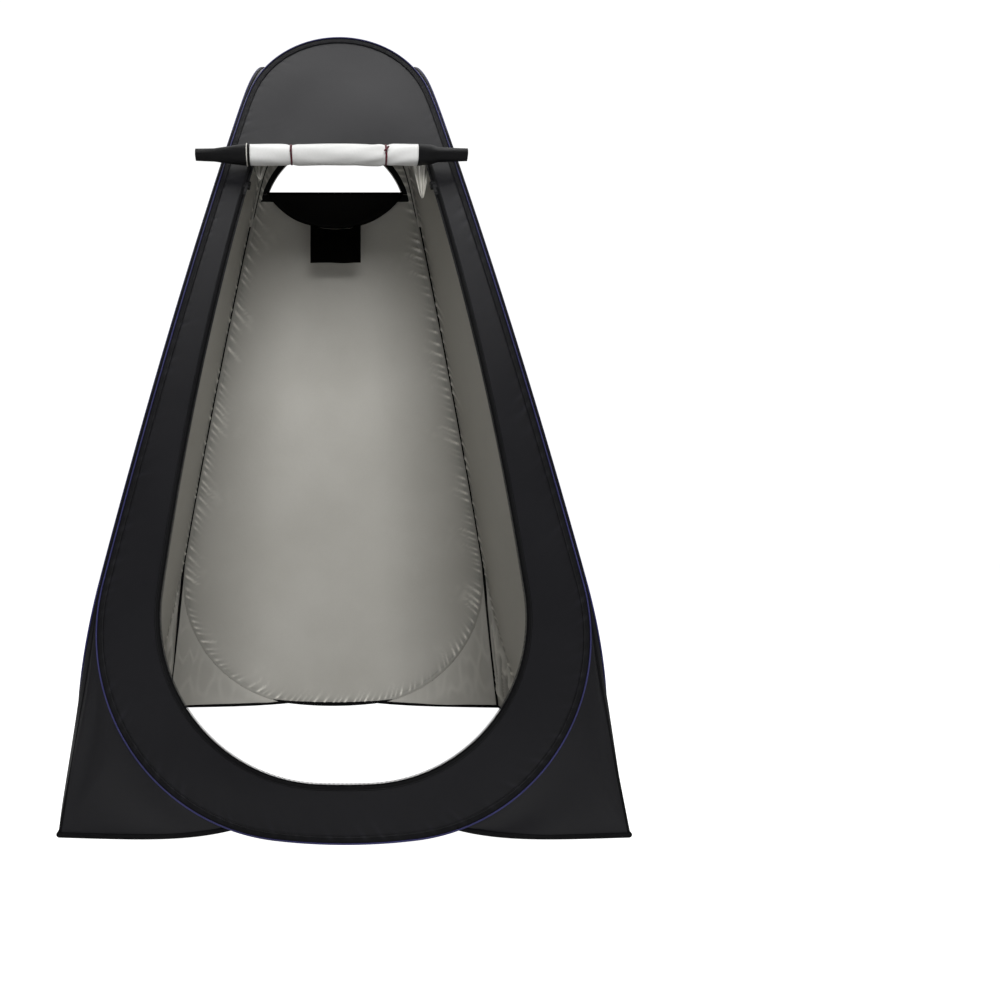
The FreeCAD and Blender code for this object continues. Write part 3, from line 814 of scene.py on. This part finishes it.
def gusset_half(seed, toe_x, rows=110, columns=44):
    """The front half of the front right gusset, from the hoop's lower curve out to the corner and the hem."""
    x, z = HOOP.at(0.0014)
    right = x > 0
    along = np.argsort(HOOP.along[right])
    x, z = x[right][along], z[right][along]
    low, high = np.searchsorted(x[: len(x) // 6], toe_x), np.searchsorted(z, GUSSET_TOP)
    share = np.linspace(0, 1, rows)
    at = low + share * (high - low)
    number = np.arange(len(x))
    x, z = np.interp(at, number, x), np.interp(at, number, z)
    inner = on_front(x, z, 0.0062)
    toe, foot = inner[0], np.array([CORNER_FOOT, -CORNER_FOOT, 0.001])
    top = reach(GUSSET_TOP) - 0.0055
    head = np.array([top, -top, GUSSET_TOP])
    turn = 0.47  # the share of the hoop's curve that the hem faces; the corner's edge faces the rest
    hem = np.clip(share / turn, 0, 1)[:, None]
    rise = np.clip((share - turn) / (1 - turn), 0, 1)[:, None]
    outer = toe + (foot - toe) * hem
    outer[:, 2] = foot[2] + (toe[2] - foot[2]) * (1 - hem[:, 0]) ** 4
    sag = 0.003 * np.sin(rise * math.pi)
    outer = np.where(rise > 0, foot + (head - foot) * rise + np.array([-1, 1, 0]) * sag, outer)
    t = np.linspace(0, 1, columns)[None, :, None]
    patch = inner[:, None] * (1 - t) + outer[:, None] * t
    rng = np.random.default_rng(seed)
    across = np.linspace(0, 1, columns)[None, :]
    swell = np.sin(across * math.pi) ** 0.8
    folds = np.zeros((rows, columns))
    for turns in (1.5, 2.6, 4.1):
        folds += np.sin(2 * math.pi * (turns * share[:, None] + 0.6 * across) + rng.uniform(0, 6)) / turns
    depth = swell * folds * np.minimum(0.006, 0.05 * np.linalg.norm(outer - inner, axis=1))[:, None]
    return patch, depth, share, turn


def gusset(seed, toe_x):
    """Both halves of the front right gusset as one folded surface: outer points, faces and UVs."""
    patch, depth, share, turn = gusset_half(seed, toe_x)
    rows, columns = patch.shape[:2]
    front = patch + np.array([0.0, 1.0, 0.0]) * depth[..., None]
    side_patch, side_depth, _, _ = gusset_half(seed + 3, toe_x)
    side = mirrored(side_patch + np.array([0.0, 1.0, 0.0]) * side_depth[..., None])
    points = np.concatenate([front.reshape(-1, 3), side.reshape(-1, 3)])
    faces = grid_faces(rows, columns)
    faces = np.concatenate([faces[:, ::-1], faces + rows * columns])
    span = grid_uv(share * 0.9, np.linspace(0, 0.4, columns))
    uv = np.concatenate([span, span * [1, -1] + [0, 1]])
    on_corner = np.flatnonzero(share > turn)
    merge = np.arange(len(points))
    last = columns - 1
    merge[rows * columns + on_corner * columns + last] = on_corner * columns + last
    faces = merge[faces]
    return points, faces, uv


def weld(points, faces, uv):
    """Leave out points that no face uses, and faces with no area."""
    a, b, c, d = (points[faces[:, k]] for k in range(4))
    area = np.linalg.norm(np.cross(c - a, d - b), axis=1)
    used, faces = np.unique(faces[area > 1e-9], return_inverse=True)
    return points[used], faces.reshape(-1, 4), uv[used]


def toe_of(corner):
    """Where the gusset's hem starts on the hoop. At the back it starts nearer the middle."""
    return 0.16 if corner.startswith("back") else GUSSET_TOE


def make_gusset(corner, seed):
    """Black cloth and silver lining of a corner, in two halves where the sides close or part in the fold."""
    degrees = CORNERS[corner][2]
    points, faces, uv = weld(*gusset(seed, toe_of(corner)))
    out = normals_of(points, faces)
    x, y, z = points.T
    first_half = x + y < 0
    from_hoop = nearest(stacked(np.where(first_half, abs(x), abs(y)), z), loop_of(HOOP, 0.0))[0]
    sewn = np.clip((z - 0.012) / 0.05, 0, 1) * np.clip(from_hoop / 0.03, 0, 1)
    streaks = billow(x + y, z * 0.30, seed + 9, waves=16, size=0.055)
    crumple = 1 - np.minimum(np.abs(streaks) * 1.6, 1)
    # Painted highlight on the crumpled lining's crests and painted shade between them, where the gusset is sewn.
    painted_light = (crumple * 1.6 - 0.6) * sewn
    first, second = {"back_right": (0.013, 0.003), "back_left": (0.003, 0.009)}.get(corner, (0.004, 0.004))
    amount = np.where(first_half, first, second) * np.clip(abs(x + y) / 0.03, 0.2, 1)
    sheets = (
        ("cloth", 0.0, 0.0007, "canopy_cloth", amount * 0.0),
        ("lining", 0.0011, 0.0016, "silver_lining", amount),
    )
    nodes = [f"corner_gusset_{corner}"] * 2
    if corner == "back_left":
        nodes = ["corner_gusset_back_left_rear", "corner_gusset_back_left_side"]
    parts = {"": np.full(len(faces), True)}
    if corner != "front_right":
        middle = points[faces].mean(axis=1)
        first_side = middle[:, 0] + middle[:, 1] < 0
        parts = {"_a": first_side, "_b": ~first_side}
    for suffix, chosen in parts.items():
        used, some = np.unique(faces[chosen], return_inverse=True)
        some = some.reshape(-1, 4)
        half = 1 if suffix == "_b" else 0
        for name, near, far, material, size in sheets:
            push = (crumple * size * sewn)[:, None]
            outer, inner = (turned((points - out * (depth + push))[used], degrees) for depth in (near, far))
            lining_painted_light = (painted_light * amount / 0.013)[used] if name == "lining" else None
            made = shell(f"corner_gusset_{name}_{corner}{suffix}", outer, inner, some, uv[used], lining_painted_light)
            dress(made, material)
            if suffix:
                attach(made, f"{CORNERS[corner][half]}_side")
                press(made, corner, half)
            else:
                bend_over(made, corner)
            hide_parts(nodes[half])


for number, corner_name in enumerate(CORNERS):
    make_gusset(corner_name, 300 + 7 * number)


def make_seam(corner):
    """The bound seam up a corner, from the ground to where the arches part, with its hem cords."""
    degrees = CORNERS[corner][2]
    z = np.linspace(SEAM_LOW, SEAM_HIGH, 90)
    r = reach(z) - 0.0083
    patch, _, share, turn = gusset_half(0, toe_of(corner))
    lower = patch[share > turn, -1] + np.array([-0.0028, 0.0028, 0.0])
    path = np.concatenate([lower[:-1], stacked(r, -r, z)[2:]])
    made = tube(f"corner_seam_binding_{corner}", turned(path, degrees), 0.0047, sides=12)
    dress(made, "black_tape")
    bend_over(made, corner)
    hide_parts(f"corner_seam_{corner}")
    hem = patch[share <= turn, -1]
    for half, (name, line) in enumerate((("a", hem), ("b", mirrored(hem)))):
        line = turned(line + np.array([0, 0, 0.0044]), degrees)
        cord = dress(tube(f"gusset_hem_{corner}_{name}", line, 0.0054, sides=10, flat=0.75), "black_tape")
        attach(cord, f"{CORNERS[corner][half]}_side")
        press(cord, corner, half)


for corner_name in CORNERS:
    make_seam(corner_name)


# ---------------------------------------------------------------- roof

def roof_gore(inset, depth):
    """A quarter of the roof on the front: from the arch back to the diagonals, sagging to the middle."""
    x, z = HOOP.at(inset)
    high = z > ROOF_LOW
    order = np.argsort(np.arctan2(x[high], z[high] - ROOF_LOW))
    x, z = x[high][order], z[high][order]
    near = -(reach(z) - depth)
    far = -np.minimum(np.abs(x), -near)
    t = np.linspace(0, 1, 26)[None, :]
    y = near[:, None] * (1 - t) + far[:, None] * t
    sag = 0.016 * np.clip(1 - np.maximum(np.abs(x)[:, None], np.abs(y)) / 0.21, 0, 1) ** 1.5
    return stacked(x[:, None], y, z[:, None] - sag), stacked(x[:, None], y)


def make_roof(side):
    """A side's quarter of the roof, black outside and silver inside."""
    degrees = SIDES[side]
    for name, inset, material in (("cloth", 0.0030, "canopy_cloth"), ("lining", 0.0038, "silver_lining")):
        outer, uv = roof_gore(inset, 0.0064)
        inner, _ = roof_gore(inset + 0.0006, 0.0064)
        faces = grid_faces(*uv.shape[:2])[:, ::-1]
        made = shell(f"{side}_roof_{name}", turned(outer, degrees), turned(inner, degrees), faces, uv)
        dress(made, material)
        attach(made, f"{side}_side")
        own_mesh(made)
        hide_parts(f"{side}_roof")


for side_name in SIDES:
    make_roof(side_name)


# ---------------------------------------------------------------- rolled door

ROLL_LOW, ROLL_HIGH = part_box("door_roll")
ROLL_Y = (ROLL_LOW.y + ROLL_HIGH.y) / 2
ROLL_Z = (ROLL_LOW.z + ROLL_HIGH.z) / 2
ROLL_RADIUS = (ROLL_HIGH.z - ROLL_LOW.z) / 2
TIP_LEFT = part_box("door_roll_end_left")[0].x
TIP_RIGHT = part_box("door_roll_end_right")[1].x
TIE_AT = {side: sum(c.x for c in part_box(f"door_tie_{side}")) / 2 for side in ("left", "right")}


def roll_radius(x):
    """Radius of the rolled door along its length: pinched at the ties and tapering to its tips."""
    places = [TIP_LEFT, TIP_LEFT + 0.045, ROLL_LOW.x - 0.05, ROLL_LOW.x - 0.015, ROLL_LOW.x]
    places += [ROLL_HIGH.x, ROLL_HIGH.x + 0.03, ROLL_HIGH.x + 0.05, TIP_RIGHT]
    radius = np.interp(x, places, [0.0140, 0.0150, 0.0200, 0.0246, 0.0246, 0.0246, 0.0232, 0.0170, 0.0146])
    for at in TIE_AT.values():
        radius = radius - 0.0028 * np.exp(-(((x - at) / 0.010) ** 2))
    return radius


def on_roll(x, radius, turn):
    """Points at an angle round the roll's axis, from behind, under it and up in front."""
    return stacked(x, ROLL_Y + radius * np.cos(turn), ROLL_Z - radius * np.sin(turn))


def roll_folds(x, turn):
    """Creases of the roll's outer turns, which gather at the ties."""
    depth = 0.0005 * np.sin(5 * turn + 18 * x) + 0.0004 * np.sin(3 * turn - 31 * x + 1)
    for at, size, lean in ((TIE_AT["left"], 0.7, 24), (TIE_AT["right"], 1.5, -30)):
        near = np.exp(-np.abs(x - at) / 0.050) * (1 - np.exp(-np.abs(x - at) / 0.008))
        wave = np.sin(5 * turn + lean * (x - at) * 2 + 0.6)
        depth = depth + 0.0013 * size * near * np.sign(wave) * np.abs(wave) ** 0.7
    return depth


def roll_sheet(name, left, right, stations, material, turns=14, steps=30, core=0.16):
    """A length of the rolled door as one spiral sheet, which comes in behind the roll and winds under it."""
    x = np.linspace(left, right, stations)[:, None]
    turn = np.linspace(0, 2 * math.pi * turns, turns * steps + 1)[None, :]
    share = turn / turn[0, -1]
    scale = 1 - (1 - core) * share
    radius = (roll_radius(x) + roll_folds(x, turn)) * scale

    faces = grid_faces(stations, turns * steps + 1)
    length = np.cumsum(np.concatenate([[0], np.full(turns * steps, 2 * math.pi / steps)]) * scale[0] * ROLL_RADIUS)
    outer, inner = (on_roll(x, radius - thick, turn) for thick in (0, 0.0004))
    made = shell(name, outer, inner, faces, grid_uv(x[:, 0], length))
    dress(made, material)
    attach(made, "rolled_door")
    return made, length[-1]


def make_roll():
    """The door's silver middle and its two black ends."""
    # The roll's silver is the lighter copy of the lining: painted light.
    silver, length = roll_sheet("door_roll_sheet", ROLL_LOW.x, ROLL_HIGH.x, 84, "lit_roll_silver")
    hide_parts("door_roll")
    for side, left, right in (("left", TIP_LEFT, ROLL_LOW.x - 0.0006), ("right", ROLL_HIGH.x + 0.0006, TIP_RIGHT)):
        end, length = roll_sheet(f"door_roll_end_sheet_{side}", left, right, 34, "roll_black")
        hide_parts(f"door_roll_end_{side}")


make_roll()


def make_hanging_cloth():
    """The top of the door, from the header seam down behind the roll and into its outer turn."""
    z_top = 1.598
    y_top = -(reach(z_top) - 0.0015)
    s = np.linspace(0, 1, 14)[None, :]
    x = np.linspace(ROLL_LOW.x + 0.012, ROLL_HIGH.x - 0.012, 70)[:, None]
    y = y_top + (ROLL_Y + ROLL_RADIUS - 0.001 - y_top) * np.sin(s * math.pi / 2)
    y = y + 0.0012 * np.sin(90 * x) * np.sin(s * math.pi)
    z = z_top + (ROLL_Z - 0.004 - z_top) * s
    points = stacked(x, y, z)
    made = shell("door_hanging_cloth", points, points + [0, 0.0008, 0], grid_faces(70, 14), stacked(x, z))
    dress(made, "canopy_cloth")
    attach(made, "rolled_door")
    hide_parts("door_hanging_strip")


make_hanging_cloth()


def roll_band(name, at, half, wave):
    """A flat tape round the roll."""
    angle = np.linspace(0, 2 * math.pi, 64, endpoint=False)[:, None]
    across = np.array([-1.0, -0.84, 0.84, 1.0, 0.84, -0.84]) * half
    proud = np.array([0.0, 0.0007, 0.0007, 0.0, -0.0003, -0.0003])
    radius = roll_radius(at) + roll_folds(at, angle) + 0.0006 + proud
    points = on_roll(at + across + wave * np.sin(angle), radius, angle)
    faces = grid_faces(64, 6, wrap_rows=True, wrap_columns=True)
    made = add_mesh(name, points, faces, stacked(angle * ROLL_RADIUS, across).reshape(-1, 2))
    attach(made, "rolled_door")
    return made


def make_tie(side):
    """A tape tied round the roll, its knot and its toggle."""
    loop = dress(roll_band(f"door_tie_tape_{side}", TIE_AT[side], 0.0025, 0.0012), "tie_tape")
    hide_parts(f"door_tie_{side}")
    low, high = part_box(f"tie_toggle_{side}")
    middle = np.array((low + high) / 2)
    tilt = math.radians({"left": 8.0, "right": 45.0}[side])
    way = np.array([math.sin(tilt), 0, math.cos(tilt)])
    s = np.linspace(-1, 1, 15)
    path = middle + np.outer(s * 0.009, way)
    radius = 0.0025 * np.sqrt(np.clip(1 - np.abs(s) ** 5, 0.02, 1)) * (1 - 0.22 * np.exp(-((s / 0.3) ** 2)))
    toggle = tube(f"tie_toggle_peg_{side}", path, radius, sides=12)
    dress(toggle, "tie_tape")
    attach(toggle, "rolled_door")
    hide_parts(f"tie_toggle_{side}")
    through = middle + np.outer([0.0044, 0.0025, 0.0006], [0, 1, 0])
    knot = tube(f"tie_knot_{side}", through, (0.0022, 0.003, 0.0018))
    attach(dress(knot, "tie_tape"), "rolled_door")


for tie_side in TIE_AT:
    make_tie(tie_side)
dress(roll_band("door_roll_edge_ring", ROLL_LOW.x - 0.0075, 0.0012, 0.0003), "silver_lining")


# ---------------------------------------------------------------- door edge

def make_door_edge():
    """The taped edge of the opening, the zip's teeth, and the stitching."""
    zip_line = door_outline(760, ZIP_TOP)
    bound = [(-0.0070, 0.0043), (-0.0050, 0.0039), (0.0, 0.0037), (0.0012, 0.0044), (0.0016, 0.0056)]
    bound += [(0.0014, 0.0066), (0.0006, 0.0071)]
    back = [(0.0002, 0.0063), (0.0006, 0.0056), (0.0004, 0.0049), (-0.0004, 0.0044)]
    back += [(-0.0050, 0.0046), (-0.0070, 0.0050)]
    binding = dress(sweep("door_edge_binding", zip_line, (bound + back)[::-1]), "black_tape")
    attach(binding, "front_side")
    for name, inset, depth, way in (("outer", -0.0052, 0.0037, 1), ("inner", -0.0120, 0.0083, -1)):
        x, z = zip_line.at(inset)
        row = stitches(f"door_edge_stitching_{name}", on_front(x, z, depth), np.array([0.0, -1.0, 0.2]) * way)
        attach(dress(row, "thread"), "front_side")
    x, z = zip_line.at(0.0057)
    place, way = evenly(on_front(x, z, 0.0065), 0.0027)
    out = np.array([0.0, -0.972, 0.235])
    side = unit(np.cross(way, out))
    corners = []
    for a in (-1, 1):
        for across, thick in ((-0.0020, 0.0011), (0.0004, 0.0013), (0.0016, 0.0015)):
            middle = place + way * 0.0008 * a + side * across
            corners += [middle + out * thick, middle - out * thick]
    points = np.stack(corners, axis=1)
    one = [[0, 1, 3, 2], [2, 3, 5, 4], [6, 8, 9, 7], [8, 10, 11, 9], [0, 6, 7, 1]]
    one += [[4, 5, 11, 10], [0, 2, 8, 6], [2, 4, 10, 8], [1, 7, 9, 3], [3, 9, 11, 5]]
    faces = [[v + 12 * i for v in f] for i in range(len(place)) for f in one]
    teeth = add_mesh("door_zip_teeth", points, faces, smooth=False)
    dress(teeth, "zip_plastic")
    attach(teeth, "front_side")
    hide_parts("door_zip_chain")


make_door_edge()


CORNER_FOLD_TOP = 1.572


def make_corner_fold(name, left, right, low, seed):
    """Slack cloth of the door's top corner, which hangs in a fold below the header."""
    rng = np.random.default_rng(seed)
    u = np.linspace(-1, 1, 34)[:, None]
    v = np.linspace(0, 1, 26)[None, :]
    middle, half = (left + right) / 2, (right - left) / 2
    width = half * (1 - v) ** 0.75 + 0.0015
    x = middle + u * width + 0.004 * v
    drop = CORNER_FOLD_TOP - low
    z = CORNER_FOLD_TOP - v * drop
    bulge = np.sqrt(np.clip(1 - u**2, 0, 1)) * (0.004 + 0.010 * np.sin(v * math.pi) ** 0.8)
    ripple = 0.0050 * np.sin(9 * u + 5 * v + rng.uniform(0, 6)) * (0.3 + np.sin(v * math.pi))
    y = -(reach(z) - 0.020) - bulge * 0.4 + 0.006 + ripple
    points = stacked(x, y, z)
    made = shell(name, points, points + [0, 0.0005, 0], grid_faces(34, 26), stacked(x, z))
    dress(made, "silver_lining")
    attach(made, "front_side")
    width = 3 * (right - left)


make_corner_fold("door_corner_fold_right", 0.180, 0.222, 1.468, 5)
make_corner_fold("door_corner_fold_left", -0.222, -0.186, 1.520, 8)


# ---------------------------------------------------------------- window cover

def flap_points(across, down, y_shift, wave=0.0):
    """The cover as drawn hanging straight down on the front, leaned into the tent, and turned to the back."""
    hinge_y, hinge_z = -reach(FLAP_Z, FLAP_DEPTH), FLAP_Z
    y, z = y_shift + wave, -down
    lean_y = y * math.cos(FLAP_LEAN) - z * math.sin(FLAP_LEAN)
    lean_z = y * math.sin(FLAP_LEAN) + z * math.cos(FLAP_LEAN)
    return turned(stacked(across, hinge_y + lean_y, hinge_z + lean_z), 180)


def press_cover(made):
    """Give the cover or its tongue its own copy of its mesh."""
    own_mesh(made)


def on_cover(made):
    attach(made, "window_cover")
    press_cover(made)


def make_cover():
    """The window's cover, a sheet with a soft wave, its rolled top, its hook tape and its stitched edge."""
    rise = FLAP_Z - WINDOW_CENTRE
    half = math.sqrt(FLAP_RADIUS**2 - rise**2)
    u = np.linspace(-1, 1, 73)[:, None]
    x = half * np.sin(u * math.pi / 2)
    drop = np.sqrt(FLAP_RADIUS**2 - x**2) - rise
    v = np.linspace(0, 1, 22)[None, :]
    down = drop * v
    calm = np.clip((np.abs(x) - 0.078) / 0.05, 0, 1)
    wave = 0.0022 * np.sin(x * 34 + 1) * v * calm
    outer, inner = (flap_points(x, down, shift, wave) for shift in (-0.0006, 0.0006))
    cover = shell("window_cover_cloth", outer, inner, grid_faces(73, 22), stacked(x, -down))
    on_cover(dress(cover, "cover_cloth"))
    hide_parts("window_flap")
    top = flap_points(np.linspace(-half, half, 40), 0.0, 0.0)
    on_cover(dress(tube("window_cover_hem", top, 0.0026), "cover_cloth"))
    edge_u = half * np.sin(np.linspace(-1, 1, 121) * math.pi / 2)[:, None]
    inset = np.linspace(0.0004, 0.0104, 5)[None, :]
    bend = np.sqrt(np.clip((FLAP_RADIUS - inset) ** 2 - edge_u**2, 0, None)) - rise
    near, far = (flap_points(edge_u, np.maximum(bend, 0.0), shift) for shift in (0.0008, 0.0017))
    tape = shell("window_cover_hook_tape", near, far, grid_faces(121, 5), stacked(edge_u, inset))
    on_cover(dress(tape, "cover_cloth"))
    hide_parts("window_hook_tape")
    edge_x = np.linspace(-half + 0.004, half - 0.004, 140)
    edge = flap_points(edge_x, np.sqrt((FLAP_RADIUS - 0.004) ** 2 - edge_x**2) - rise, 0.0)
    face = np.array([0, -1.0, -0.3])
    for name, way in (("inside", 1), ("outside", -1)):
        row = stitches(f"window_cover_stitching_{name}", edge + face * 0.0008 * way, face * way)
        on_cover(dress(row, "thread"))


make_cover()


def make_tongue():
    """The square tongue below the cover, its top cut to the cover's curve."""
    low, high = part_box("window_tongue")
    half = (high.x - low.x) / 2
    y = (low.y + high.y) / 2
    u = np.linspace(-1, 1, 31)[:, None]
    v = np.linspace(0, 1, 21)[None, :]
    top = high.z - 0.0134 * (1 - u**2)
    z = top - (top - low.z) * v
    wave = 0.0014 * np.sin(u * 3 + 0.8) * v + 0.002 * v**2 * np.sin(u * 5)
    near, far = (stacked(u * half, y + wave + shift, z) for shift in (-0.0006, 0.0006))
    made = shell("window_tongue_cloth", near, far, grid_faces(31, 21), stacked(u * half, z))
    dress(made, "cover_cloth")
    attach(made, "cover_tongue")
    press_cover(made)
    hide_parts("window_tongue")


make_tongue()


# ---------------------------------------------------------------- CAD nodes that stay

def dress_cad():
    """Materials for the CAD nodes that are shown as they are."""
    tapes = ("door_zip_tape", "door_header_tape", "window_loop_tape", "window_sill_tape")
    kinds = dict.fromkeys(tapes, "cad_tape")
    kinds |= {f"zip_{part}_{side}": "zip_metal" for part in ("slider", "pull") for side in TIE_AT}
    kinds |= {f"{side}_hoop{end}": "spring_steel" for side in SIDES for end in ("", "_ferrule")}
    for name, material in kinds.items():
        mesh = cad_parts[name].data
        mesh.materials.clear()
        mesh.materials.append(MATERIALS[material])


dress_cad()


# ---------------------------------------------------------------- floor and light

def make_stage():
    """A plain pale floor."""
    size = 14.0
    corners = np.array([[-size, -size, 0], [size, -size, 0], [size, size, 0], [-size, size, 0]])
    floor = add_mesh("floor", corners - [0, 0, 0.0006], [[0, 1, 2, 3]], smooth=False)
    material, tree, shader = principled("pale_floor")
    patches = noise(tree, node(tree, "TexCoord").outputs["Object"], 0.9, 3)
    greys = ramp(tree, patches, 0.35, 0.65, (0.50, 0.50, 0.50), (0.54, 0.54, 0.54))
    tree.links.new(greys, shader.inputs["Base Color"])
    shader.inputs["Roughness"].default_value = 0.95
    shader.inputs["Specular IOR Level"].default_value = 0.1
    shader.inputs["Emission Color"].default_value = (1, 1, 1, 1)
    seen = node(tree, "LightPath").outputs["Is Camera Ray"]
    glow = node(tree, "MapRange", None, {"Value": seen, "To Min": 0.02, "To Max": 0.97})
    tree.links.new(glow.outputs[0], shader.inputs["Emission Strength"])
    floor.data.materials.append(material)


def area_light(name, place, target, size, power, glossy=True):
    data = bpy.data.lights.new(name, "AREA")
    data.shape = "RECTANGLE"
    data.size, data.size_y = size
    data.energy = power
    made = bpy.data.objects.new(name, data)
    made.location = place
    made.rotation_euler = (Vector(target) - Vector(place)).to_track_quat("-Z", "Y").to_euler()
    made.visible_glossy = glossy
    bpy.context.scene.collection.objects.link(made)


def make_light():
    """A white backdrop all round, a large soft light overhead and one in front."""
    world = bpy.data.worlds.new("white")
    bpy.context.scene.world = world
    world.use_nodes = True
    tree = world.node_tree
    background = tree.nodes["Background"]
    seen = node(tree, "LightPath").outputs["Is Camera Ray"]
    strength = node(tree, "MapRange", None, {"Value": seen, "To Min": 0.10, "To Max": 1.05})
    background.inputs["Color"].default_value = (1, 1, 1, 1)
    tree.links.new(strength.outputs[0], background.inputs["Strength"])
    area_light("overhead", (0, 0, 3.9), (0, 0, 0), (4.4, 4.4), 126)
    area_light("front", (0.1, -4.6, 2.6), (0, 0, 0.7), (2.0, 2.6), 200, glossy=False)
    view = bpy.context.scene.view_settings
    view.view_transform = "Standard"
    view.look = "None"


make_stage()
make_light()
